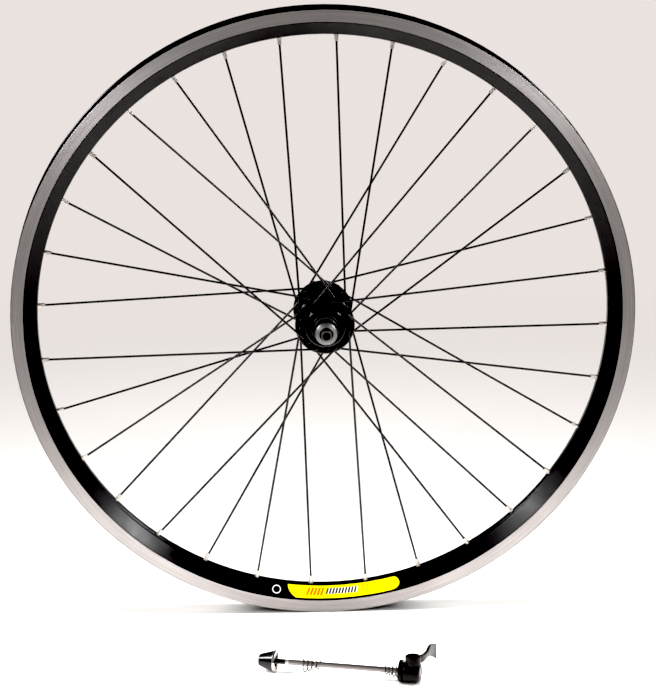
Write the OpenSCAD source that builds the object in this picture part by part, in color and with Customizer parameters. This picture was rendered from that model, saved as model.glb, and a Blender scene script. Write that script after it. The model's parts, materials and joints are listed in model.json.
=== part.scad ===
// Rear bicycle wheel for rim brakes, with its hollow-axle hub, freehub and quick-release skewer.
// The wheel spins about +Y, its centre is the origin, -Y is the left (non-drive) side, +Z is up.
// The skewer lies on the floor in front of the wheel, on the plane that the rim stands on.

/* [Rim] */
// Diameter over the rim's outer lips
rim_od = 572; // [571:0.5:574]
// Diameter of the seats for the tyre's beads
bead_seat_d = 559; // [558:0.5:560]
// Width across the two brake tracks
rim_w = 27; // [26:0.5:29]
// Depth of the section from the lips to the inner apex
rim_depth = 24.4; // [24:0.2:26]
// Height of each machined brake track
track_h = 11; // [10:0.5:11.5]
// Wall thickness of the extrusion
rim_wall = 1.7; // [1.5:0.1:1.9]
// Diameter of the valve hole
valve_d = 8.5; // [6.5:0.1:8.7]

/* [Spokes] */
// Diameter of the spoke wire
spoke_d = 2; // [1.8:0.1:2]
// Angle of the first spoke at the rim, up from +X
first_spoke = 8.3; // [7:0.1:9]
// Diameter of the circle of spoke holes in each flange
spoke_circle_d = 44.8; // [44:0.2:45.6]
// Distance of each nipple from the rim's middle plane
nipple_offset = 0.8; // [0.4:0.1:1.2]

/* [Hub] */
// Width over the two locknuts
hub_w = 135; // [134:0.5:136]
// Place of the left flange along the axle
left_flange_y = -34.4; // [-35:0.1:-34]
// Place of the right flange along the axle
right_flange_y = 20.6; // [20:0.1:21]
// Thickness of both flanges
flange_t = 3.4; // [3:0.1:3.6]
// Diameter of the left flange
left_flange_d = 54.4; // [53:0.2:56]
// Diameter of the right flange
right_flange_d = 54.2; // [53:0.2:56]
// Diameter of the axle's end stubs
axle_d = 10; // [9.5:0.1:10]
// Diameter of the hole for the skewer
axle_hole_d = 5.5; // [5.2:0.1:5.6]
// Length of the axle
axle_len = 146; // [144:1:148]
// Diameter of the hub's bearing balls
ball_d = 6.35; // [6.3:0.01:6.35]

/* [Skewer] */
// Diameter of the skewer's rod
rod_d = 5; // [4.8:0.1:5]
// Distance between the skewer's two clamping faces
grip_len = 112; // [105:1:135]
// Angle of the rod to the wheel's plane, on the floor
rod_turn = 15.2; // [0:0.1:20]
// Diameter of both clamping faces
clamp_d = 20; // [19.6:0.2:20.4]
// Eccentricity of the cam
cam_throw = 1; // [0.6:0.1:1]

/* [Hidden] */
$fn = 96;

// Clearances
press = 0.02;
running = 0.05;

// Rim section, in the plane of radius (x) and distance along the axle (y)
rim_r = rim_od / 2;
seat_r = bead_seat_d / 2;
half_w = rim_w / 2;
apex_r = rim_r - rim_depth;
lip_chamfer = 0.7;
lip_t = 1.7;
hook = 0.7;
track_in_r = rim_r - lip_chamfer - track_h;
track_step = 0.25;
bed_r = seat_r - 3.4;
bed_half_w = 7.2;
seat_w = 2.4;
side_t = 1.9;
apex_round = 4.5;
apex_flat = 2.6;
apex_centre = [apex_r + apex_round, apex_flat];
shoulder = [track_in_r - 0.6, half_w - track_step];
shoulder_gap = shoulder - apex_centre;
slope_angle = atan2(shoulder_gap.y, shoulder_gap.x) + acos(apex_round / norm(shoulder_gap));
slope_out = [cos(slope_angle), sin(slope_angle)];

// Spokes
spoke_count = 32;
spoke_step = 360 / spoke_count;
crossing = 6 * spoke_step;
spoke_r = spoke_d / 2;
spoke_circle_r = spoke_circle_d / 2;
bend_r = 2.3;
bend_start = flange_t / 2 - 0.45;
seat_spoke_r = apex_r + rim_wall / 2;
flange_hole_d = spoke_d + 0.6;
nipple_hole_d = 4.4;
access_hole_d = 8.6;
valve_angle = first_spoke + 7.5 * spoke_step;
joint_angle = valve_angle + 180;

// Hub, as distances along the axle and radii
left_ball_y = -41;
right_ball_y = 50.5;
ball_circle_r = 9.9;
race_r = ball_d / 2 + 0.075;
axle_r = axle_d / 2;
axle_mid_r = axle_r - 0.3;
thread_r = axle_mid_r + press;
core_r = 11.8;
small_ball_d = 3.175;
small_ball_circle_r = core_r + small_ball_d / 2 + 0.06;
small_race_r = small_ball_circle_r + small_ball_d / 2 + 0.06;
freehub_y = 26.8;
freehub_len = 35;
spline_root_r = 16.2;
spline_tip_r = 17.25;
lockring_r = 15.35;
pawl_pivot_r = 10.4;
pawl_y = 34.8;
pawl_len = 5.6;
ratchet_teeth = 24;
ratchet_tip_r = 13.2;
ratchet_root_r = 14.7;

// Skewer, with its own x along the rod from the nut to the lever, and 0 at the lever's clamping face
clamp_r = clamp_d / 2;
rod_r = rod_d / 2;
skewer_at = [57.5, -189.2, clamp_r - rim_r];
nut_face = -grip_len;
nut_len = 13.8;
nut_ring_t = 2.2;
cam_x = 12.4;
cam_r = 2.1;
housing_len = 19.6;
housing_flat_z = 6;
disc_t = 3.8;
boss_r = 7;
boss_top = 15.3;
thread_pitch = 0.8;

// ---- placing ----

module lathe() {
    rotate([-90, 0, 0]) rotate_extrude() children();
}

module rod_lathe() {
    rotate([0, 90, 0]) rotate_extrude() children();
}

module at_rim_angle(a) {
    rotate([0, -a, 0]) children();
}

module on_skewer() {
    translate(skewer_at) rotate([0, 0, -rod_turn]) children();
}

// A turned block between two radii and two stations, with its outer corners rounded
module block(r_in, r_out, y_in, y_out, c = 0.3) {
    translate([r_in, y_in]) square([r_out - r_in - c, y_out - y_in]);
    translate([r_in, y_in + c]) square([r_out - r_in, y_out - y_in - 2 * c]);
    translate([r_out - c, y_in + c]) circle(c);
    translate([r_out - c, y_out - c]) circle(c);
}

function mirrored(half) =
    concat(half, [for (i = [len(half) - 2 : -1 : 1]) [half[i].x, -half[i].y]]);

// ---- rim ----

// The rounded corner between the rim's inner face and its sloping side
function apex_arc(r) =
    [for (i = [0 : 7]) let (a = 180 + (slope_angle - 180) * i / 7) apex_centre + r * [cos(a), sin(a)]];

// The hollow section, from the spokes' face out to the tyre's seats
module rim_outline() {
    polygon(mirrored([
        [apex_r, 0],
        each apex_arc(apex_round),
        shoulder,
        [track_in_r, half_w],
        [seat_r, half_w],
        [seat_r, half_w - lip_t - seat_w],
        [bed_r, bed_half_w],
        [bed_r, 0]]));
}

module rim_cavity() {
    inner_shoulder = shoulder - rim_wall * slope_out;
    polygon(mirrored([
        [apex_r + rim_wall, 0],
        each apex_arc(apex_round - rim_wall),
        [inner_shoulder.x, inner_shoulder.y],
        [inner_shoulder.x + 0.6, half_w - side_t],
        [seat_r - rim_wall, half_w - side_t],
        [seat_r - rim_wall, half_w - lip_t - seat_w + 0.6],
        [bed_r - rim_wall, bed_half_w - 0.4],
        [bed_r - rim_wall, 0]]));
}

module rim() {
    color("#1c1d20") difference() {
        lathe() difference() {
            rim_outline();
            rim_cavity();
        }
        for (k = [0 : spoke_count - 1]) at_nipple(k) {
            translate([0, 0, -6]) cylinder(d = nipple_hole_d, h = 12);
            translate([0, 0, 8]) cylinder(d = access_hole_d, h = 12);
        }
        at_rim_angle(valve_angle) translate([apex_r - 10, 0, 0]) rotate([0, 90, 0]) cylinder(d = valve_d, h = 30);
    }
}

// The single wall outside a seat, with the hook that holds the tyre's bead; of one extrusion with the rim
module brake_wall(side) {
    color("#1c1d20") lathe() scale([1, side]) polygon([
        [seat_r, half_w],
        [rim_r - lip_chamfer, half_w],
        [rim_r, half_w - lip_chamfer],
        [rim_r, half_w - lip_t + 0.3],
        [rim_r - 0.8, half_w - lip_t - hook],
        [rim_r - 2.2, half_w - lip_t - hook],
        [rim_r - 3.2, half_w - lip_t],
        [seat_r, half_w - lip_t]]);
}

module rim_left_brake_wall() { brake_wall(-1); }
module rim_right_brake_wall() { brake_wall(1); }

// The insert that holds the rolled rim's two ends together, inside the hollow section
module rim_joint_sleeve() {
    sleeve_arc = 9;
    color("silver") rotate([0, -(joint_angle - sleeve_arc / 2), 0]) rotate([90, 0, 0])
        rotate_extrude(angle = sleeve_arc) polygon(mirrored([
            [apex_r + rim_wall + 0.2, 0],
            [apex_r + rim_wall + 0.2, apex_flat],
            [shoulder.x - 1, half_w - side_t - 2],
            [bed_r - rim_wall - 0.2, bed_half_w - 1],
            [bed_r - rim_wall - 0.2, 0]]));
}

// Stickers on the sloping inner sides of the rim
module rim_decals() {
    decal_arc = 22.6;
    decal_from = 262.3;
    thick = 0.15;
    low = apex_centre + (apex_round + press) * slope_out;
    along = (shoulder - (apex_centre + apex_round * slope_out));
    start = low + 0.02 * along;
    stop = low + 0.9 * along;
    color("gold") for (s = [-1, 1]) rotate([0, -decal_from, 0]) rotate([90, 0, 0])
        rotate_extrude(angle = decal_arc) mirror([0, s < 0 ? 1 : 0]) mirror([0, 1])
            polygon([start, stop, stop + thick * slope_out, start + thick * slope_out]);
}

// ---- spokes ----

function is_left(k) = k % 2 == 0;
function pulls(k) = k % 4 < 2;
function rim_angle(k) = first_spoke + k * spoke_step;
function hub_angle(k) = rim_angle(k) + (pulls(k) ? crossing : -crossing);
function side(k) = is_left(k) ? -1 : 1;
function flange_y(k) = is_left(k) ? left_flange_y : right_flange_y;
function hub_end(k) = [spoke_circle_r * cos(hub_angle(k)), flange_y(k), spoke_circle_r * sin(hub_angle(k))];
function rim_end(k) =
    [seat_spoke_r * cos(rim_angle(k)), side(k) * nipple_offset, seat_spoke_r * sin(rim_angle(k))];
// Pulling spokes leave their flange on its outer face, static spokes on its inner face
function leaves(k) = pulls(k) ? side(k) : -side(k);
// The nipple's seat in the spoke's own plane: x towards the rim, y out of the flange face that it leaves
function seat_in_plane(k) =
    let (reach = rim_end(k) - hub_end(k))
    [norm([reach.x, reach.z]), leaves(k) * reach.y];
function from_bend(k) = seat_in_plane(k) - [bend_r, bend_start];
function spoke_tilt(k) =
    atan2(from_bend(k).y, from_bend(k).x) - asin(bend_r / norm(from_bend(k)));
function bend_end(k) = [bend_r - bend_r * sin(spoke_tilt(k)), bend_start + bend_r * cos(spoke_tilt(k))];
function straight_len(k) = norm(seat_in_plane(k) - bend_end(k));

module in_spoke_plane(k) {
    reach = rim_end(k) - hub_end(k);
    translate(hub_end(k)) rotate([0, -atan2(reach.z, reach.x), 0]) rotate([leaves(k) < 0 ? 180 : 0, 0, 0])
        children();
}

module along_spoke(k) {
    in_spoke_plane(k) translate([bend_end(k).x, bend_end(k).y, 0]) rotate([0, 0, spoke_tilt(k)])
        rotate([0, 90, 0]) children();
}

module at_nipple(k) {
    along_spoke(k) translate([0, 0, straight_len(k)]) children();
}

module spoke(k) {
    head_t = 1.1;
    head_at = -flange_t / 2 - 0.1;
    collar = 0.04;
    lap = 0.2;
    in_spoke_plane(k) {
        rotate([-90, 0, 0]) rotate_extrude() polygon([
            [0, head_at - head_t], [1.6, head_at - head_t], [1.9, head_at - 0.7],
            [spoke_r, head_at], [spoke_r, bend_start + lap], [0, bend_start + lap]]);
        translate([bend_r, bend_start, 0]) rotate([0, 0, 90 + spoke_tilt(k)])
            rotate_extrude(angle = 90 - spoke_tilt(k)) translate([bend_r, 0]) circle(r = spoke_r + collar);
    }
    along_spoke(k) translate([0, 0, -lap]) cylinder(r = spoke_r, h = straight_len(k) + 1.5 + lap);
}

module spokes(left, pulling) {
    color("#2a2a2c") for (k = [0 : spoke_count - 1]) if (is_left(k) == left && pulls(k) == pulling) spoke(k);
}

module left_pulling_spokes() { spokes(true, true); }
module left_static_spokes() { spokes(true, false); }
module right_pulling_spokes() { spokes(false, true); }
module right_static_spokes() { spokes(false, false); }

module spoke_nipple() {
    body_len = 7.4;
    body_r = 1.95;
    difference() {
        union() {
            intersection() {
                translate([0, 0, -body_len]) cylinder(r = body_r, h = body_len + 1.5);
                union() {
                    translate([-1.65, -1.65, -body_len]) cube([3.3, 3.3, 4]);
                    translate([0, 0, -body_len + 4]) cylinder(r = body_r, h = body_len);
                }
            }
            translate([0, 0, 1.5]) rotate_extrude()
                polygon([[0, 0], [body_r, 0], [3, 0.9], [3, 1.6], [2.4, 2.2], [0, 2.2]]);
        }
        translate([0, 0, -body_len - 1]) cylinder(r = spoke_r + running, h = body_len + 6);
    }
}

module spoke_nipples() {
    color("#d8d8da") for (k = [0 : spoke_count - 1]) at_nipple(k) spoke_nipple();
}

// ---- hub ----

module spoke_holes(left) {
    for (k = [0 : spoke_count - 1]) if (is_left(k) == left) translate(hub_end(k))
        rotate([90, 0, 0]) translate([0, 0, -3]) cylinder(d = flange_hole_d, h = 6);
}

module flange(y, d) {
    block(7.6, d / 2, y - flange_t / 2, y + flange_t / 2, 1.6);
}

// A concave flare from the barrel up to a boss; towards is 1 if it rises with y
module flare(r_low, y_low, r_high, towards) {
    sweep_r = 7.5;
    difference() {
        translate([r_low - 1, towards > 0 ? y_low : y_low - sweep_r]) square([r_high - r_low + 1, sweep_r]);
        translate([r_low + sweep_r, y_low]) circle(sweep_r);
    }
}

module hub_shell() {
    barrel_r = 12.6;
    boss_in_r = 17.4;
    color("#141416") difference() {
        lathe() difference() {
            union() {
                block(7.6, 18.5, -44.8, left_flange_y, 1.8);
                flange(left_flange_y, left_flange_d);
                block(7.6, boss_in_r, left_flange_y, -27.4, 1);
                flare(barrel_r, -20.6, boss_in_r, -1);
                block(7.6, barrel_r, -30, 18, 0.1);
                flare(barrel_r, 8, boss_in_r, 1);
                block(7.6, boss_in_r, 13.4, right_flange_y, 1);
                flange(right_flange_y, right_flange_d);
                block(7.6, boss_in_r, right_flange_y, 25.6, 1.4);
            }
            translate([0, -38]) square([9.2, 50]);
            translate([0, -45]) square([14.1, 8.5]);
            translate([0, 22.4]) square([core_r + press, 4]);
        }
        spoke_holes(true);
        spoke_holes(false);
    }
}

// The outer race's section around a ball; inboard is 1 where the hub's middle lies towards +y
module cup_section(ball_y, inboard, r_out) {
    translate([0, ball_y]) mirror([0, inboard > 0 ? 0 : 1]) difference() {
        translate([8.7, -2.2]) square([r_out - 8.7, 6.6]);
        translate([ball_circle_r, 0]) circle(race_r);
    }
}

module cone_section(ball_y, inboard) {
    translate([0, ball_y]) mirror([0, inboard > 0 ? 0 : 1]) difference() {
        translate([thread_r, -3]) square([ball_circle_r + 1 - thread_r, 5.2]);
        translate([ball_circle_r, 0]) circle(race_r);
    }
}

module balls(count, circle_r, y, d) {
    for (i = [0 : count - 1]) rotate([0, i * 360 / count, 0]) translate([circle_r, y, 0]) sphere(d = d);
}

module left_bearing_cup() {
    color("silver") lathe() cup_section(left_ball_y, 1, 14.1 - press);
}

module left_hub_balls() {
    color("silver") balls(9, ball_circle_r, left_ball_y, ball_d);
}

module left_dust_cap() {
    color("#303033") lathe() translate([11.4, -44.8]) square([14.1 - press - 11.4, 0.75]);
}

module left_cone() {
    color("silver") lathe() {
        cone_section(left_ball_y, 1);
        block(thread_r, 8.5, -57.5, left_ball_y - 2.9, 0.3);
    }
}

module left_rubber_seal() {
    color("#222224") lathe() {
        block(8.5 + press, 12.6, -46.6, -45.1, 0.6);
        block(8.5 + press, 10.9, -52, -45.4, 1);
    }
}

module left_spacer() {
    color("#29292b") lathe() block(thread_r, 9.2, -62, -57.6, 0.6);
}

// A locknut whose outer face has radial serrations
module locknut(y_in, y_out, r_out) {
    face_y = abs(y_out) > abs(y_in) ? y_out : y_in;
    difference() {
        lathe() block(thread_r, r_out, min(y_in, y_out), max(y_in, y_out), 0.7);
        for (i = [0 : 23]) rotate([0, i * 15, 0]) translate([6.2, face_y - 0.25, -0.15]) cube([2.6, 0.5, 0.3]);
    }
}

module left_locknut() {
    color("#e0e0e2") locknut(-hub_w / 2, -62.1, 9.8);
}

module hollow_axle() {
    chamfer = 0.4;
    stub_from = hub_w / 2 + 0.02;
    end = axle_len / 2;
    bore_r = axle_hole_d / 2;
    color("#3a3a3c") lathe() polygon([
        [bore_r, -end], [axle_r - chamfer, -end], [axle_r, -end + chamfer], [axle_r, -stub_from],
        [axle_mid_r, -stub_from], [axle_mid_r, stub_from], [axle_r, stub_from], [axle_r, end - chamfer],
        [axle_r - chamfer, end], [bore_r, end]]);
}

module right_cone() {
    color("silver") lathe() {
        cone_section(right_ball_y, -1);
        block(thread_r, 7.8, right_ball_y + 2.9, 60.5, 0.3);
    }
}

module right_rubber_seal() {
    color("#222224") lathe() {
        block(7.8 + press, 14, 55.2, 56.8, 0.6);
        block(7.8 + press, 9.6, 55.2, 59, 0.6);
    }
}

module right_spacer() {
    color("#29292b") lathe() block(thread_r, 8.2, 60.6, 63.4, 0.4);
}

module right_locknut() {
    color("#e0e0e2") locknut(63.5, hub_w / 2, 8.9);
}

module right_hub_balls() {
    color("silver") balls(9, ball_circle_r, right_ball_y, ball_d);
}

module right_bearing_cup() {
    color("silver") lathe() cup_section(right_ball_y, -1, 14.4);
}

// ---- freehub ----

module at_pawl(i) {
    rotate([0, -i * 120, 0]) rotate([90, 0, 0]) translate([pawl_pivot_r, 0, 0]) children();
}

module freehub_core() {
    color("#6b6b70") difference() {
        lathe() difference() {
            translate([7.7, 22.5]) square([core_r - 7.7, 46.05 - 22.5]);
            translate([0, 33]) square([8.7, 20]);
            translate([10.8, 37]) square([2, 1.2]);
        }
        for (i = [0 : 2]) at_pawl(i) translate([0, 0, -pawl_y - pawl_len - 0.2]) linear_extrude(pawl_len + 0.4) {
            circle(1.25);
            polygon([[-0.5, -1.2], [-1.3, 0], [-1.3, 3], [-0.7, 7], [4, 7], [4, -1.2]]);
        }
    }
}

module pawl(i) {
    color("silver") difference() {
        at_pawl(i) translate([0, 0, -pawl_y - pawl_len]) linear_extrude(pawl_len) {
            circle(1.2 - running);
            polygon([[-1.1, 0], [1.1, 0], [0.8, 6.2], [-0.3, 6.2], [-1.1, 2.5]]);
        }
        lathe() translate([10, 36.9]) square([6, 1.4]);
    }
}

module pawl_a() { pawl(0); }
module pawl_b() { pawl(1); }
module pawl_c() { pawl(2); }

module pawl_spring() {
    color("silver") rotate([90, 0, 0]) translate([0, 0, -37.6]) rotate([0, 0, 75])
        rotate_extrude(angle = 330) translate([11.25, 0]) circle(r = 0.3, $fn = 24);
}

module freehub_fixing_bolt() {
    color("silver") lathe() {
        block(6.2, 7.55, 12.2, 33.2, 0.2);
        block(6.2, 8.6, 33.05, 40, 0.3);
    }
}

module spline_profile() {
    land = 23;
    narrow_land = 15;
    circle(r = spline_root_r);
    intersection() {
        circle(r = spline_tip_r);
        for (i = [0 : 8]) rotate(i * 40) {
            half = (i == 0 ? narrow_land : land) / 2;
            polygon([[0, 0], [24, -24 * tan(half)], [24, 24 * tan(half)]]);
        }
    }
}

module ratchet_profile() {
    step = 360 / ratchet_teeth;
    drive_face = 26.9;
    polygon([for (i = [0 : ratchet_teeth - 1]) each [
        ratchet_root_r * [cos(drive_face + i * step), sin(drive_face + i * step)],
        ratchet_tip_r * [cos(drive_face + i * step + 0.8), sin(drive_face + i * step + 0.8)]]]);
}

// Extrudes a profile drawn in the wheel's own X and Z, from one station to another along the axle
module across(y_from, y_to) {
    rotate([90, 0, 0]) translate([0, 0, -y_to]) linear_extrude(y_to - y_from) children();
}

module freehub_body() {
    color("#8a8b90") difference() {
        union() {
            across(freehub_y, freehub_y + freehub_len) spline_profile();
            lathe() block(8, spline_tip_r + 0.35, freehub_y, freehub_y + 2.4, 0.3);
        }
        across(freehub_y - 1, freehub_y + 2.5) circle(r = core_r + 0.5);
        across(freehub_y + 2.4, 33) circle(r = small_race_r);
        across(32.9, 42.1) ratchet_profile();
        across(42, 56) circle(r = small_race_r);
        across(55.9, freehub_y + freehub_len + 1) circle(r = lockring_r);
    }
}

module freehub_balls() {
    color("silver") {
        balls(24, small_ball_circle_r, 31, small_ball_d);
        balls(24, small_ball_circle_r, 43.7, small_ball_d);
    }
}

// ---- quick-release skewer ----

// A tube along a route: rings of points, closed with a cap at each end
module loft(rings) {
    n = len(rings[0]);
    m = len(rings);
    polyhedron(
        points = [for (ring = rings) each ring],
        faces = concat(
            [[for (i = [0 : n - 1]) i]],
            [for (j = [0 : m - 2]) for (i = [0 : n - 1])
                [j * n + i, (j + 1) * n + i, (j + 1) * n + (i + 1) % n, j * n + (i + 1) % n]],
            [[for (i = [n - 1 : -1 : 0]) (m - 1) * n + i]]),
        convexity = 8);
}

// A conical coil spring that hangs on the rod, from one station and coil radius to another
module cone_spring(x_from, r_from, x_to, r_to, turns) {
    wire_r = 0.6;
    sides = 8;
    rings_per_turn = 16;
    last = round(turns * rings_per_turn);
    loft([for (j = [0 : last])
        let (
            f = j / last,
            a = f * turns * 360,
            r = r_from + f * (r_to - r_from),
            drop = r - wire_r - rod_r - 0.25,
            x = x_from + f * (x_to - x_from))
        [for (i = [0 : sides - 1])
            let (b = i * 360 / sides, q = r + wire_r * cos(b))
            [x + wire_r * sin(b), q * cos(a), q * sin(a) - drop]]]);
}

module skewer_rod() {
    thread_len = 23;
    rod_end = nut_face - 14.5;
    thread_depth = 0.35;
    eye_r = 4.1;
    eye_t = 3;
    eye_x = cam_x + cam_throw;
    neck_from = cam_x - 4.1;
    grooves = floor(thread_len / thread_pitch) - 1;
    color("#c9c9cc") on_skewer() {
        difference() {
            rod_lathe() translate([0, rod_end]) square([rod_r, neck_from - rod_end]);
            rod_lathe() for (i = [0 : grooves]) translate([rod_r, rod_end + (i + 1) * thread_pitch])
                polygon([[0.1, -0.34], [0.1, 0.34], [-thread_depth, 0]]);
        }
        translate([neck_from - 1, -2, -eye_t / 2]) cube([eye_x - 3.4 - neck_from + 1, 4, eye_t]);
        translate([eye_x, 0, -eye_t / 2]) linear_extrude(eye_t) difference() {
            circle(r = eye_r);
            translate([-cam_r - 0.35, -cam_throw + 0.2]) square([2 * cam_r + 0.7, 2 * cam_throw - 0.4]);
            for (s = [-1, 1]) translate([0, s * (cam_throw - 0.2)]) circle(r = cam_r + 0.35);
        }
    }
}

module skewer_cone_nut() {
    small_r = 5.6;
    large_r = clamp_r - 0.4;
    back = nut_face - nut_ring_t - nut_len;
    front = nut_face - nut_ring_t;
    color("#101012") on_skewer() rod_lathe() difference() {
        union() {
            polygon([[0, back], [small_r - 0.9, back], [small_r, back + 0.9], [large_r - 0.3, front - 0.8],
                [large_r, front], [0, front]]);
            translate([0, front - 0.1]) square([7.9, nut_ring_t - 0.4]);
        }
        translate([-1, back - 1]) square([rod_r + running + 1, 30]);
        translate([-1, back - 1]) square([4.4 + 1, 4.6]);
        translate([-1, nut_face - 4.5]) square([5.4 + 1, 6]);
    }
}

module nut_steel_ring() {
    color("#dcdcde") on_skewer() difference() {
        rod_lathe() difference() {
            block(7.9 + press, clamp_r, nut_face - nut_ring_t + press, nut_face, 0.3);
        }
        for (i = [0 : 17]) rotate([i * 20, 0, 0]) translate([nut_face - 0.4, 7.5, -0.35]) cube([0.8, 4, 0.7]);
    }
}

module nut_thread_insert() {
    color("#3c3c40") on_skewer() rod_lathe() translate([rod_r + running, nut_face - nut_ring_t - nut_len + 0.3])
        square([4.4 - press - rod_r - running, 3.2]);
}

module nut_end_spring() {
    color("#c4c4c6") on_skewer() cone_spring(-88, 6.1, -71.6, 3.4, 4.25);
}

module lever_end_spring() {
    color("#c4c4c6") on_skewer() cone_spring(-13.4, 3.4, -1, 4.9, 3.75);
}

module cam_housing() {
    barrel_r = clamp_r - 0.3;
    color("#0f0f11") on_skewer() difference() {
        rod_lathe() difference() {
            union() {
                block(0, clamp_r, 0, disc_t, 0.8);
                block(0, barrel_r, disc_t - 1, housing_len, 4);
            }
            translate([-1, -1]) square([rod_r + 0.3 + 1, 12]);
            translate([-1, 5]) square([4.5 + 1, 20]);
            translate([5.5, -1]) square([3.6, 2.2]);
        }
        translate([disc_t, -15, housing_flat_z]) cube([30, 30, 10]);
        translate([cam_x, 0, 0]) cylinder(r = 3.2, h = 12);
        translate([cam_x, 0, -12]) cylinder(r = 1.1, h = 12);
        translate([cam_x, 0, -12]) cylinder(r = 2.7, h = 3.8);
    }
}

module housing_steel_ring() {
    color("#dcdcde") on_skewer() difference() {
        rod_lathe() translate([5.5 + press, 0]) square([3.6 - 2 * press, 1.2 - press]);
        for (i = [0 : 17]) rotate([i * 20, 0, 0]) translate([-0.4, 5, -0.3]) cube([0.7, 5, 0.6]);
    }
}

module housing_end_plug() {
    color("#0f0f11") on_skewer() rod_lathe() block(0, 4.5 - press, 18.6, housing_len - 0.2, 0.3);
}

// Lever's arm: a curve out from the pivot's boss and back along the wheel, with a paddle at its tip
function bezier(p, f) =
    pow(1 - f, 3) * p[0] + 3 * f * pow(1 - f, 2) * p[1] + 3 * f * f * (1 - f) * p[2] + pow(f, 3) * p[3];
function rounded(c) = sign(c) * pow(abs(c), 0.6);
function ease(f) = let (t = max(0, min(1, f))) t * t * (3 - 2 * t);

module lever_arm() {
    route = [[2, 1], [9, 6], [7.2, 24], [12, 43.5]];
    stations = 28;
    points = 16;
    loft([for (j = [0 : stations])
        let (
            f = j / stations,
            at = bezier(route, f),
            ahead = bezier(route, min(f + 0.01, 1)) - bezier(route, max(f - 0.01, 0)),
            across_arm = [ahead.y, -ahead.x] / norm(ahead),
            drop = 6.5 * pow(max(0, f - 0.7) / 0.3, 1.4),
            z = 11.2 - 1.8 * ease(f / 0.45) + 0.9 * ease((f - 0.6) / 0.12) - drop,
            half_h = 4.3 - 1.1 * ease(f / 0.6) + 2 * ease((f - 0.6) / 0.12) + 7.3 * max(0, f - 0.7),
            half_t = 2.5 - 1.4 * f)
        [for (i = [0 : points - 1])
            let (a = -i * 360 / points, w = half_t * rounded(cos(a)))
            [at.x + w * across_arm.x, at.y + w * across_arm.y, z + half_h * rounded(sin(a))]]]);
}

module quick_release_lever() {
    color("#0f0f11") on_skewer() translate([cam_x, 0, 0]) difference() {
        union() {
            rotate_extrude() block(0, boss_r, housing_flat_z + 0.25, boss_top, 1.2);
            lever_arm();
        }
        cylinder(r = 3.15 + press, h = 12.4);
    }
}

module cam_shaft() {
    color("silver") on_skewer() translate([cam_x, 0, 0]) {
        translate([0, 0, -9.3]) cylinder(r = 1.05, h = 8);
        translate([cam_throw, 0, -1.9]) cylinder(r = cam_r, h = 4);
        translate([0, 0, 1.9]) cylinder(r = 3.15, h = 10.4);
    }
}

module cam_shaft_clip() {
    color("silver") on_skewer() translate([cam_x, 0, -9.2]) difference() {
        cylinder(r = 2.5, h = 0.8);
        translate([0, 0, -1]) cylinder(r = 1.05 + press, h = 3);
    }
}

rim();
rim_left_brake_wall();
rim_right_brake_wall();
rim_joint_sleeve();
rim_decals();
spoke_nipples();
left_pulling_spokes();
left_static_spokes();
right_pulling_spokes();
right_static_spokes();
hub_shell();
left_bearing_cup();
left_hub_balls();
left_dust_cap();
left_cone();
left_rubber_seal();
left_spacer();
left_locknut();
hollow_axle();
right_cone();
right_rubber_seal();
right_spacer();
right_locknut();
right_hub_balls();
right_bearing_cup();
freehub_core();
freehub_fixing_bolt();
freehub_body();
freehub_balls();
pawl_a();
pawl_b();
pawl_c();
pawl_spring();
skewer_rod();
skewer_cone_nut();
nut_steel_ring();
nut_thread_insert();
nut_end_spring();
lever_end_spring();
cam_housing();
housing_steel_ring();
housing_end_plug();
quick_release_lever();
cam_shaft();
cam_shaft_clip();
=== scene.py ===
import json
import math

import bpy
import bmesh
from mathutils import Matrix, Vector


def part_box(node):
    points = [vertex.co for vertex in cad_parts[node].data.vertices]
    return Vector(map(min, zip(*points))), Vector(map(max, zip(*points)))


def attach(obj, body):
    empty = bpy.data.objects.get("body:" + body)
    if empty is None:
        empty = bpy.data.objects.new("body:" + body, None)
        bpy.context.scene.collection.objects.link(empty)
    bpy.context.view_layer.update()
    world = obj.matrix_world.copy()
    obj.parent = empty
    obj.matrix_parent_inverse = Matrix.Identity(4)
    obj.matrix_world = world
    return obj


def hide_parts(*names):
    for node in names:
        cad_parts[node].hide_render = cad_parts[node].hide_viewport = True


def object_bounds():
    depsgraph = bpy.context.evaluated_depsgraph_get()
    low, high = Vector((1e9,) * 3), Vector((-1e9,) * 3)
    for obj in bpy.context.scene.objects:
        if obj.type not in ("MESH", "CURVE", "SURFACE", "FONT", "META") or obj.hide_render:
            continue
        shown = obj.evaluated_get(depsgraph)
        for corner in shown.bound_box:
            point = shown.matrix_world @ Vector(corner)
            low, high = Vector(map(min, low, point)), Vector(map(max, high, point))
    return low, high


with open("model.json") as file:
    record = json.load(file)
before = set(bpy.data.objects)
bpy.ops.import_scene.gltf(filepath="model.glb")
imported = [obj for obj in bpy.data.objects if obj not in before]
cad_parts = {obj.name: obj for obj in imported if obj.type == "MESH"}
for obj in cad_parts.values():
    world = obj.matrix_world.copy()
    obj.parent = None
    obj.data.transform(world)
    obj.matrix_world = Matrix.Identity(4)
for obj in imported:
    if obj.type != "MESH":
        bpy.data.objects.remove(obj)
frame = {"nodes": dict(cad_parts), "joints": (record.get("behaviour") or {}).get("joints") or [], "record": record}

cad_low, cad_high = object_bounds()
cad_low, cad_high = list(cad_low), list(cad_high)
scene = bpy.context.scene
nodes = frame["nodes"]
TAU = 2 * math.pi


# ---------------------------------------------------------------- camera

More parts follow.
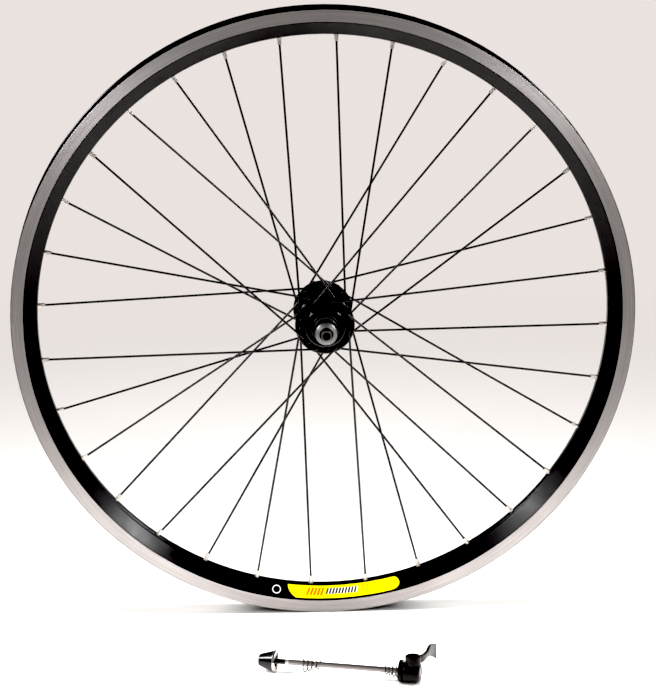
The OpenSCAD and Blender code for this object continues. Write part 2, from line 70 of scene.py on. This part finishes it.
cam_data = bpy.data.cameras.new("camera")
cam = bpy.data.objects.new("camera", cam_data)
scene.collection.objects.link(cam)
scene.camera = cam
CAMERA_AT = (-0.11016, -2.83255, 0.78645)
CAMERA_YAW, CAMERA_PITCH, CAMERA_ROLL = 2.319, -16.106, -0.415    # degrees
cam_data.sensor_width = 36
cam_data.lens = 165.886
cam_data.clip_start, cam_data.clip_end = 0.05, 100
cam_data.shift_x, cam_data.shift_y = -0.0008, 0.00115


def aim(yaw, pitch, roll):
    forward = Vector((math.sin(yaw) * math.cos(pitch), math.cos(yaw) * math.cos(pitch), math.sin(pitch)))
    right = Vector((math.cos(yaw), -math.sin(yaw), 0))
    up = right.cross(forward)
    turned_right = math.cos(roll) * right + math.sin(roll) * up
    turned_up = -math.sin(roll) * right + math.cos(roll) * up
    return Matrix((turned_right, turned_up, -forward)).transposed().to_4x4()


cam.matrix_world = Matrix.Translation(CAMERA_AT) @ aim(
    math.radians(CAMERA_YAW), math.radians(CAMERA_PITCH), math.radians(CAMERA_ROLL))


# ---------------------------------------------------------------- shader helpers

class Shader:
    """A material under construction, with short calls for the nodes that it needs."""

    def __init__(self, name):
        self.material = bpy.data.materials.new(name)
        self.material.use_nodes = True
        self.tree = self.material.node_tree
        self.tree.nodes.clear()
        self.out = self.tree.nodes.new("ShaderNodeOutputMaterial")

    def node(self, kind, **values):
        made = self.tree.nodes.new("ShaderNode" + kind)
        for key, value in values.items():
            setattr(made, key, value)
        return made

    def link(self, source, target):
        if isinstance(source, (int, float, tuple)):
            target.default_value = source
        else:
            self.tree.links.new(source, target)

    def math(self, operation, a, b=0.0, c=0.0, clamp=False):
        made = self.node("Math", operation=operation, use_clamp=clamp)
        for value, socket in zip((a, b, c), made.inputs):
            self.link(value, socket)
        return made.outputs[0]

    def place(self):
        coords = self.node("TexCoord").outputs["Object"]
        split = self.node("SeparateXYZ")
        self.link(coords, split.inputs[0])
        return coords, *split.outputs

    def combine(self, x, y, z):
        made = self.node("CombineXYZ")
        for value, socket in zip((x, y, z), made.inputs):
            self.link(value, socket)
        return made.outputs[0]

    def noise(self, vector, scale, detail=3.0, rough=0.5):
        made = self.node("TexNoise")
        self.link(vector, made.inputs["Vector"])
        made.inputs["Scale"].default_value = scale
        made.inputs["Detail"].default_value = detail
        made.inputs["Roughness"].default_value = rough
        return made.outputs["Fac"]

    def spread(self, value, low, high, to_low=0.0, to_high=1.0, kind="LINEAR"):
        made = self.node("MapRange", interpolation_type=kind)
        for v, name in ((value, "Value"), (low, "From Min"), (high, "From Max"), (to_low, "To Min"),
                        (to_high, "To Max")):
            self.link(v, made.inputs[name])
        return made.outputs[0]

    def tint(self, factor, low, high):
        made = self.node("Mix", data_type="RGBA")
        self.link(factor, made.inputs[0])
        made.inputs[6].default_value = (*low, 1)
        made.inputs[7].default_value = (*high, 1)
        return made.outputs[2]

    def over(self, colour, factor, ink):
        """The colour, covered with an even ink where the factor is 1."""
        made = self.node("Mix", data_type="RGBA")
        self.link(factor, made.inputs[0])
        self.link(colour, made.inputs[6])
        made.inputs[7].default_value = (*ink, 1)
        return made.outputs[2]

    def either(self, factor, first, second):
        made = self.node("MixShader")
        for value, socket in zip((factor, first, second), made.inputs):
            self.link(value, socket)
        return made.outputs[0]

    def bump(self, height, strength, distance):
        made = self.node("Bump")
        made.inputs["Strength"].default_value = strength
        made.inputs["Distance"].default_value = distance
        self.link(height, made.inputs["Height"])
        return made.outputs[0]

    def surface(self, **values):
        made = self.node("BsdfPrincipled")
        for key, value in values.items():
            socket = made.inputs[key.replace("_", " ")]
            if isinstance(value, tuple) and len(value) == 3:
                value = (*value, 1)
            self.link(value, socket)
        return made.outputs[0]

    def done(self, shader):
        self.link(shader, self.out.inputs[0])
        return self.material


def polar(sh, x, z):
    """Radius and angle about the wheel's axle."""
    radius = sh.math("SQRT", sh.math("ADD", sh.math("MULTIPLY", x, x), sh.math("MULTIPLY", z, z)))
    return radius, sh.math("ARCTAN2", z, x)


def wheel_tangent(sh):
    made = sh.node("Tangent", direction_type="RADIAL", axis="Y")
    return made.outputs[0]


# ---------------------------------------------------------------- materials

# Distances from the axle and the middle plane in metres, and angles about the axle in degrees
TRACK_SIDE = 0.01336
TRACK_RADII = (0.27455, 0.28575)
MARK_TURN, MARK_RADIUS, MARK_HALF_SIZE = 260.05, 0.2676, (0.0040, 0.0034)


def black_gloss(name, base=(0.0030, 0.0028, 0.0032), rough=0.12, peel=0.04, smudge=0.10, level=0.22):
    sh = Shader(name)
    coords, x, y, z = sh.place()
    peel_height = sh.noise(coords, 900, 2)
    grime = sh.noise(coords, 60, 4, 0.62)
    dust = sh.spread(sh.noise(coords, 2600, 2), 0.66, 0.80)
    return sh.done(sh.surface(
        Base_Color=sh.tint(dust, base, (0.016, 0.015, 0.015)),
        Roughness=sh.spread(grime, 0.35, 0.75, rough, rough + smudge),
        Specular_IOR_Level=level,
        Normal=sh.bump(peel_height, peel, 0.0002)))


def metal(name, base, rough, spread_rough=0.10, scale=300, bump=0.05, stain=0.75, **more):
    sh = Shader(name)
    coords, x, y, z = sh.place()
    patch = sh.noise(coords, scale * 0.25, 4, 0.6)
    grain = sh.noise(coords, scale * 6, 3)
    low = tuple(v * stain for v in base)
    return sh.done(sh.surface(
        Base_Color=sh.tint(sh.spread(patch, 0.3, 0.75), base, low),
        Metallic=1.0,
        Roughness=sh.spread(sh.noise(coords, scale, 3), 0.3, 0.7, rough, rough + spread_rough),
        Normal=sh.bump(grain, bump, 0.0001), **more))


def turned_metal(name, base, rough, pitch=0.00035, depth=0.25, aniso=0.5, turn=0.25):
    """Steel turned in a lathe about the wheel's axle, with fine rings."""
    sh = Shader(name)
    coords, x, y, z = sh.place()
    radius, angle = polar(sh, x, z)
    rings = sh.noise(sh.combine(sh.math("DIVIDE", radius, pitch), sh.math("DIVIDE", y, pitch),
                                sh.math("MULTIPLY", angle, 0.6)), 1.0, 2)
    patch = sh.noise(coords, 120, 4)
    return sh.done(sh.surface(
        Base_Color=sh.tint(sh.spread(patch, 0.35, 0.7), base, tuple(v * 0.7 for v in base)),
        Metallic=1.0,
        Roughness=sh.spread(rings, 0.3, 0.7, rough, rough + 0.12),
        Anisotropic=aniso, Anisotropic_Rotation=turn,
        Tangent=wheel_tangent(sh),
        Normal=sh.bump(rings, depth, 0.00003)))


def locknut_finish():
    """Zinc plate with a turned face: a bright ring around the countersink over the axle's thread, where painted
    shade darkens the colour, and a darker outer side.
    """
    sh = Shader("locknut_bright_zinc")
    coords, x, y, z = sh.place()
    radius, angle = polar(sh, x, z)
    rings = sh.noise(sh.combine(sh.math("MULTIPLY", radius, 2600.0), sh.math("MULTIPLY", angle, 1.5),
                                sh.math("MULTIPLY", y, 300.0)), 1.0, 3)
    # painted shade: the colour is darkened inside 6.0 to 6.8 mm, over the countersink
    painted_sink_shade = sh.spread(radius, 0.0060, 0.0068)
    # the colour is darker towards the outer side, beyond 9.3 mm
    flank = sh.spread(radius, 0.0093, 0.0096, 1.0, 0.45)
    painted_shade_and_dark_side = sh.tint(sh.math("MULTIPLY", painted_sink_shade, flank), (0.025, 0.024, 0.024), (1, 1, 1))
    mixed = sh.node("Mix", data_type="RGBA", blend_type="MULTIPLY")
    mixed.inputs[0].default_value = 1
    sh.link(sh.tint(rings, (0.50, 0.49, 0.49), (0.68, 0.67, 0.67)), mixed.inputs[6])
    sh.link(painted_shade_and_dark_side, mixed.inputs[7])
    return sh.done(sh.surface(
        Base_Color=mixed.outputs[2], Metallic=1.0,
        Roughness=sh.spread(rings, 0.3, 0.7, 0.56, 0.64),
        Anisotropic=0.85, Anisotropic_Rotation=0.25,
        Tangent=wheel_tangent(sh),
        Normal=sh.bump(rings, 0.25, 0.00005)))


def rim_finish():
    """Black lacquer with a white ring mark, and two bare tracks whose fine grooves run round the rim."""
    sh = Shader("rim_black_and_tracks")
    coords, x, y, z = sh.place()
    radius, angle = polar(sh, x, z)
    side = sh.math("ABSOLUTE", y)
    in_track = sh.math("MULTIPLY",
                       sh.math("GREATER_THAN", side, TRACK_SIDE),
                       sh.math("MULTIPLY", sh.math("GREATER_THAN", radius, TRACK_RADII[0]),
                               sh.math("LESS_THAN", radius, TRACK_RADII[1])))
    groove = sh.noise(sh.combine(sh.math("MULTIPLY", radius, 5200.0), sh.math("MULTIPLY", angle, 7.0),
                                 sh.math("MULTIPLY", y, 40.0)), 1.0, 3, 0.6)
    wide = sh.noise(sh.combine(sh.math("MULTIPLY", radius, 700.0), sh.math("MULTIPLY", angle, 3.0), y),
                    1.0, 2)
    stain = sh.noise(coords, 26, 5, 0.65)
    track = sh.surface(
        Base_Color=sh.tint(sh.spread(sh.math("MULTIPLY", wide, sh.math("ADD", groove, 0.5)), 0.25, 0.8),
                           (0.41, 0.385, 0.385), (0.58, 0.55, 0.545)),
        Metallic=1.0,
        Roughness=sh.spread(stain, 0.3, 0.7, 0.50, 0.58),
        Anisotropic=0.85, Anisotropic_Rotation=0.25,
        Tangent=wheel_tangent(sh),
        Normal=sh.bump(groove, 0.22, 0.00005))
    smear = sh.noise(coords, 34, 5, 0.7)
    dust = sh.spread(sh.noise(coords, 1500, 3, 0.7), 0.64, 0.82)
    around = sh.math("MULTIPLY", sh.math("SUBTRACT", angle, math.radians(MARK_TURN) - TAU),
                     MARK_RADIUS / MARK_HALF_SIZE[0])
    outward = sh.math("DIVIDE", sh.math("SUBTRACT", radius, MARK_RADIUS), MARK_HALF_SIZE[1])
    ring = sh.math("SQRT", sh.math("ADD", sh.math("MULTIPLY", around, around),
                                   sh.math("MULTIPLY", outward, outward)))
    ring = sh.math("MULTIPLY", sh.spread(ring, 0.78, 0.84), sh.spread(ring, 0.98, 1.04, 1.0, 0.0))
    plain = sh.tint(dust, (0.0026, 0.0018, 0.0026), (0.012, 0.010, 0.012))
    lacquer = sh.surface(
        Base_Color=sh.over(plain, ring, (0.75, 0.75, 0.76)),
        Roughness=sh.spread(smear, 0.35, 0.72, 0.14, 0.26),
        Specular_IOR_Level=0.12,
        Normal=sh.bump(sh.noise(coords, 1100, 2), 0.05, 0.0002))
    return sh.done(sh.either(in_track, lacquer, track))


def spoke_finish():
    sh = Shader("spoke_satin_black")
    coords, x, y, z = sh.place()
    patch = sh.noise(coords, 160, 4, 0.6)
    return sh.done(sh.surface(
        Base_Color=sh.tint(sh.spread(patch, 0.55, 0.8), (0.0040, 0.0036, 0.0038), (0.018, 0.016, 0.016)),
        Roughness=sh.spread(patch, 0.3, 0.7, 0.26, 0.40),
        Specular_IOR_Level=0.25,
        Normal=sh.bump(sh.noise(coords, 2400, 2), 0.10, 0.0001)))


def rubber_finish():
    sh = Shader("rubber")
    coords, x, y, z = sh.place()
    return sh.done(sh.surface(
        Base_Color=sh.tint(sh.noise(coords, 200, 4), (0.0040, 0.0038, 0.0038), (0.009, 0.0085, 0.0085)),
        Roughness=sh.spread(sh.noise(coords, 500, 3), 0.3, 0.7, 0.30, 0.46),
        Specular_IOR_Level=0.22,
        Normal=sh.bump(sh.noise(coords, 3000, 3), 0.25, 0.0001)))


def axle_finish():
    """Oxide-dark steel with a rolled thread of one millimetre pitch, and a lighter ring painted on the end as a
    highlight on its chamfer.
    """
    sh = Shader("axle_dark_steel")
    coords, x, y, z = sh.place()
    radius, angle = polar(sh, x, z)
    turns = sh.math("ADD", sh.math("DIVIDE", y, 0.001), sh.math("DIVIDE", angle, TAU))
    thread = sh.math("PINGPONG", turns, 0.5)
    outside = sh.math("GREATER_THAN", radius, 0.0045)
    # painted highlight: a lighter ring at radii 3.7 to 4.8 mm, standing in for light on the end's chamfer
    painted_chamfer_highlight = sh.math("MULTIPLY", sh.spread(radius, 0.0037, 0.0041),
                   sh.spread(radius, 0.0044, 0.0048, 1.0, 0.0))
    dark = sh.tint(sh.noise(coords, 500, 4), (0.020, 0.019, 0.019), (0.05, 0.05, 0.05))
    return sh.done(sh.surface(
        Base_Color=sh.over(dark, painted_chamfer_highlight, (0.22, 0.21, 0.20)),
        Metallic=1.0,
        Roughness=sh.spread(sh.noise(coords, 900, 3), 0.3, 0.7, 0.30, 0.46),
        Normal=sh.bump(sh.math("MULTIPLY", thread, outside), 0.9, 0.0006)))


def rod_finish(direction, nut_face):
    """Drawn steel with long streaks, a dark rolled thread next to the nut, and a bright collar at its end."""
    sh = Shader("rod_drawn_steel")
    coords, x, y, z = sh.place()

    def dot(way):
        made = sh.node("VectorMath", operation="DOT_PRODUCT")
        sh.link(coords, made.inputs[0])
        made.inputs[1].default_value = way
        return made.outputs["Value"]

    along, across = dot(direction), dot((-direction[1], direction[0], 0))
    from_nut = sh.math("SUBTRACT", along, nut_face)
    thread = sh.spread(from_nut, 0.0086, 0.0092, 1.0, 0.0)
    collar = sh.math("MULTIPLY", sh.spread(from_nut, 0.0084, 0.0090),
                     sh.spread(from_nut, 0.0112, 0.0118, 1.0, 0.0))
    turns = sh.math("PINGPONG", sh.math("DIVIDE", from_nut, 0.0008), 0.5)
    streak = sh.noise(sh.combine(sh.math("MULTIPLY", along, 60.0), sh.math("MULTIPLY", across, 3000.0),
                                 sh.math("MULTIPLY", z, 3000.0)), 1.0, 3)
    plain = sh.tint(streak, (0.150, 0.138, 0.134), (0.205, 0.188, 0.183))
    for factor, colour in ((thread, (0.06, 0.052, 0.048)), (collar, (0.46, 0.44, 0.43))):
        plain = sh.over(plain, factor, colour)
    relief = sh.math("ADD", sh.math("MULTIPLY", streak, 0.05), sh.math("MULTIPLY", turns, thread))
    return sh.done(sh.surface(
        Base_Color=plain, Metallic=1.0,
        Roughness=sh.spread(streak, 0.3, 0.7, 0.34, 0.46),
        Normal=sh.bump(relief, 0.6, 0.0003)))


def decal_finish():
    """Yellow film with plain slanted bars, orange and then black on white, and a small outlined tab."""
    sh = Shader("decal_yellow_film")
    coords, x, y, z = sh.place()
    radius, angle = polar(sh, x, z)
    turn = sh.math("ADD", sh.math("MULTIPLY", angle, 360 / TAU), 360.0)
    lean = sh.math("ADD", turn, sh.math("MULTIPLY", radius, 90.0))

    def band(value, low, high):
        return sh.math("MULTIPLY", sh.math("GREATER_THAN", value, low), sh.math("LESS_THAN", value, high))

    def stripes(start, pitch, share):
        count = sh.math("DIVIDE", sh.math("SUBTRACT", lean, start), pitch)
        return sh.math("LESS_THAN", sh.math("FRACT", count), share)

    first = sh.math("MULTIPLY", band(lean, 290.3, 293.8), band(radius, 0.2640, 0.2701))
    block = sh.math("MULTIPLY", band(lean, 294.1, 300.4), band(radius, 0.2645, 0.2691))
    tab = sh.math("MULTIPLY", band(turn, 277.40, 278.60), band(radius, 0.2600, 0.2688))
    tab = sh.math("SUBTRACT", tab,
                  sh.math("MULTIPLY", band(turn, 277.60, 278.40), band(radius, 0.2600, 0.2679)))
    fade = sh.noise(coords, 90, 3)
    colour = sh.tint(fade, (0.90, 0.78, 0.002), (0.95, 0.84, 0.004))
    for factor, ink in ((sh.math("MULTIPLY", first, stripes(290.3, 0.70, 0.58)), (0.60, 0.10, 0.006)),
                        (block, (0.85, 0.85, 0.83)),
                        (sh.math("MULTIPLY", block, stripes(294.1, 0.63, 0.62)), (0.010, 0.009, 0.010)),
                        (tab, (0.80, 0.33, 0.01))):
        colour = sh.over(colour, factor, ink)
    return sh.done(sh.surface(
        Base_Color=colour,
        Roughness=sh.spread(sh.noise(coords, 400, 3), 0.3, 0.7, 0.34, 0.46),
        Specular_IOR_Level=0.3,
        Normal=sh.bump(sh.noise(coords, 1800, 2), 0.05, 0.0001)))


joint_of = {j["name"]: j for j in frame["joints"]}
to_rod = nodes["skewer_rod"].matrix_world.inverted()
rod_way = (to_rod.to_3x3() @ -Vector(joint_of["nut_turn"]["axis"])).normalized()
nut_face = (to_rod @ Vector(joint_of["nut_turn"]["pos_m"])).dot(rod_way) + 0.006

finishes = {
    "rim_black": rim_finish(),
    "spoke_black": spoke_finish(),
    "nipple_brass": metal("nipple_nickel", (0.78, 0.73, 0.68), 0.42, 0.14, 500),
    "hub_black": black_gloss("hub_gloss_black", rough=0.07, smudge=0.06),
    "bearing_steel": turned_metal("bearing_steel", (0.20, 0.195, 0.195), 0.20, aniso=0.2),
    "locknut_steel": locknut_finish(),
    "axle_steel": axle_finish(),
    "rubber_black": rubber_finish(),
    "spacer_black": black_gloss("spacer_black", rough=0.10, smudge=0.06, level=0.5),
    "freehub_steel": turned_metal("freehub_satin_zinc", (0.40, 0.40, 0.42), 0.30),
    "sleeve_alloy": metal("sleeve_mill_alloy", (0.7, 0.7, 0.71), 0.35),
    "decal_yellow": decal_finish(),
    "rod_steel": rod_finish(tuple(rod_way), nut_face),
    "skewer_black": black_gloss("skewer_gloss_black", base=(0.0040, 0.0030, 0.0032),
                                rough=0.24, level=0.08),
    "clamp_steel": metal("clamp_bright_steel", (0.44, 0.42, 0.42), 0.22, 0.10, 400),
    "spring_steel": metal("spring_bright_wire", (0.055, 0.049, 0.046), 0.36, 0.12, 600),
    "plug_black": black_gloss("plug_moulded_black", rough=0.25),
}
nut_black = black_gloss("nut_satin_black", rough=0.18, smudge=0.06, level=0.22)
slot_of = {part["node"]: part["material_slot"] for part in frame["record"]["subparts"]}
for name, ob in nodes.items():
    finish = nut_black if name == "skewer_cone_nut" else finishes[slot_of[name]]
    if not ob.material_slots:
        ob.data.materials.append(None)
    for material_slot in ob.material_slots:
        material_slot.material = finish


# ---------------------------------------------------------------- stickers

def sticker_point(t, lift):
    """Radius and distance from the middle plane at a share t of the sticker's width, going outwards."""
    arc_r, arc_mid, slope, arc, along = 0.0045, (0.2661, 0.0026), math.radians(124.4), 0.0013, 0.0109
    d = t * (arc + along)
    if d < arc:
        a = slope + (arc - d) / arc_r
        return tuple(m + (arc_r + lift) * v for m, v in zip(arc_mid, (math.cos(a), math.sin(a))))
    out = (math.cos(slope), math.sin(slope))
    return (arc_mid[0] + (arc_r + lift) * out[0] + (d - arc) * out[1],
            arc_mid[1] + (arc_r + lift) * out[1] - (d - arc) * out[0])


def stickers():
    rows, columns = 28, 96
    bm = bmesh.new()
    for side in (-1, 1):
        sheets = []
        for lift in (0.00002, 0.00016):
            grid = []
            for j in range(rows + 1):
                t = j / rows
                low = 262.25 + 1.75 * t ** 2.1
                bow = 1 - math.sqrt(max(0.0, 1 - (2 * t - 1) ** 2))
                high = 284.95 - (0.95 if t < 0.5 else 2.0) * bow
                radius, off = sticker_point(t, lift)
                line = []
                for i in range(columns + 1):
                    a = math.radians(low + (high - low) * i / columns)
                    line.append(bm.verts.new((radius * math.cos(a), side * off, radius * math.sin(a))))
                grid.append(line)
            sheets.append(grid)
        inner, outer = sheets
        for grid, flip in ((outer, side > 0), (inner, side < 0)):
            for j in range(rows):
                for i in range(columns):
                    quad = [grid[j][i], grid[j][i + 1], grid[j + 1][i + 1], grid[j + 1][i]]
                    bm.faces.new(quad[::-1] if flip else quad)
        edge = [(0, i) for i in range(columns)] + [(j, columns) for j in range(rows)]
        edge += [(rows, i) for i in range(columns, 0, -1)] + [(j, 0) for j in range(rows, 0, -1)]
        for (j0, i0), (j1, i1) in zip(edge, edge[1:] + edge[:1]):
            bm.faces.new([inner[j0][i0], inner[j1][i1], outer[j1][i1], outer[j0][i0]])
    bmesh.ops.recalc_face_normals(bm, faces=bm.faces)
    mesh = bpy.data.meshes.new("rim_stickers")
    bm.to_mesh(mesh)
    bm.free()
    for face in mesh.polygons:
        face.use_smooth = True
    ob = bpy.data.objects.new("rim_stickers", mesh)
    scene.collection.objects.link(ob)
    mesh.materials.append(finishes["decal_yellow"])
    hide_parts("rim_decals")
    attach(ob, "wheel")
    return ob


stickers()


# ---------------------------------------------------------------- stage

HAZE = (0.825, 0.768, 0.745)    # what the camera sees beyond the lit paper, and above the horizon


def stage_floor():
    floor_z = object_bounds()[0].z
    size = 14.0
    mesh = bpy.data.meshes.new("floor")
    mesh.from_pydata([(-size, -size, floor_z), (size, -size, floor_z), (size, size, floor_z),
                      (-size, size, floor_z)], [], [(0, 1, 2, 3)])
    ob = bpy.data.objects.new("floor", mesh)
    scene.collection.objects.link(ob)
    sh = Shader("floor_pale_paper")
    coords, x, y, z = sh.place()
    paper = sh.surface(
        Base_Color=sh.tint(sh.noise(coords, 2.0, 3), (0.86, 0.835, 0.81), (0.90, 0.88, 0.86)),
        Roughness=0.75, Specular_IOR_Level=0.2,
        Normal=sh.bump(sh.noise(coords, 260, 3), 0.05, 0.0005))
    haze = sh.node("Emission")
    haze.inputs[0].default_value, haze.inputs[1].default_value = (*HAZE, 1), 1
    distance = sh.math("SQRT", sh.math("ADD", sh.math("MULTIPLY", x, x), sh.math("MULTIPLY", y, y)))
    far = sh.spread(distance, 0.35, 1.25, kind="SMOOTHSTEP")
    hazy = sh.math("MULTIPLY", far, sh.node("LightPath").outputs["Is Camera Ray"])
    mesh.materials.append(sh.done(sh.either(hazy, paper, haze.outputs[0])))
    return ob


stage_floor()

world = bpy.data.worlds.new("studio")
scene.world = world
world.use_nodes = True
tree = world.node_tree
seen = tree.nodes["Background"]
seen.inputs[0].default_value = (*HAZE, 1)
seen.inputs[1].default_value = 1
fill = tree.nodes.new("ShaderNodeBackground")
fill.inputs[0].default_value = (1.0, 0.97, 0.95, 1)
fill.inputs[1].default_value = 0.07
path = tree.nodes.new("ShaderNodeLightPath")
choose = tree.nodes.new("ShaderNodeMixShader")
tree.links.new(path.outputs["Is Camera Ray"], choose.inputs[0])
tree.links.new(fill.outputs[0], choose.inputs[1])
tree.links.new(seen.outputs[0], choose.inputs[2])
tree.links.new(choose.outputs[0], tree.nodes["World Output"].inputs[0])


def softbox(name, location, target, width, height, watts, beam=180, colour=(1, 1, 1), mirrored=True):
    data = bpy.data.lights.new(name, "AREA")
    data.shape = "RECTANGLE"
    data.size, data.size_y = width, height
    data.spread = math.radians(beam)
    data.energy = watts
    data.color = colour
    ob = bpy.data.objects.new(name, data)
    scene.collection.objects.link(ob)
    ob.location = location
    ob.rotation_mode = "QUATERNION"
    ob.rotation_quaternion = (Vector(target) - Vector(location)).to_track_quat("-Z", "Y")
    ob.visible_glossy = mirrored
    ob.visible_camera = False
    return ob


softbox("key_left", (-1.54, -1.40, 0.99), (0, 0, 0), 0.34, 0.34, 2.8, 70)
softbox("key_right", (1.54, -1.40, 0.99), (0, 0, 0), 0.34, 0.34, 2.6, 70)
softbox("floor_near", (0, -0.12, 1.05), (0, -0.12, -0.3), 0.9, 0.3, 3.2, 27, (1, 0.975, 0.965), False)
softbox("floor_far", (0, 2.4, 2.5), (0, 2.4, -0.3), 3.0, 2.0, 24, 118, (1, 0.955, 0.94), False)
softbox("rear_left", (-1.54, 1.60, 0.99), (0, 0, 0), 0.34, 0.34, 2.4, 70)
softbox("rear_right", (1.54, 1.60, 0.99), (0, 0, 0), 0.34, 0.34, 2.4, 70)
softbox("side_left", (-2.4, 0.1, 1.5), (0, 0, 0), 0.6, 0.6, 5.0, 50)
softbox("side_right", (2.4, 0.1, 1.5), (0, 0, 0), 0.6, 0.6, 5.0, 50)
nut_low, nut_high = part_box("skewer_cone_nut")
nut_middle = (nut_low + nut_high) / 2
nut_light_at = nut_middle + 0.6 * Vector((-0.769, -0.128, 0.624))
softbox("nut_accent", nut_light_at, nut_middle, 0.10, 0.10, 0.10, 30)

scene.view_settings.view_transform = "Standard"
scene.view_settings.use_curve_mapping = True
scene.view_settings.curve_mapping.black_level = (0.020, 0.020, 0.020)
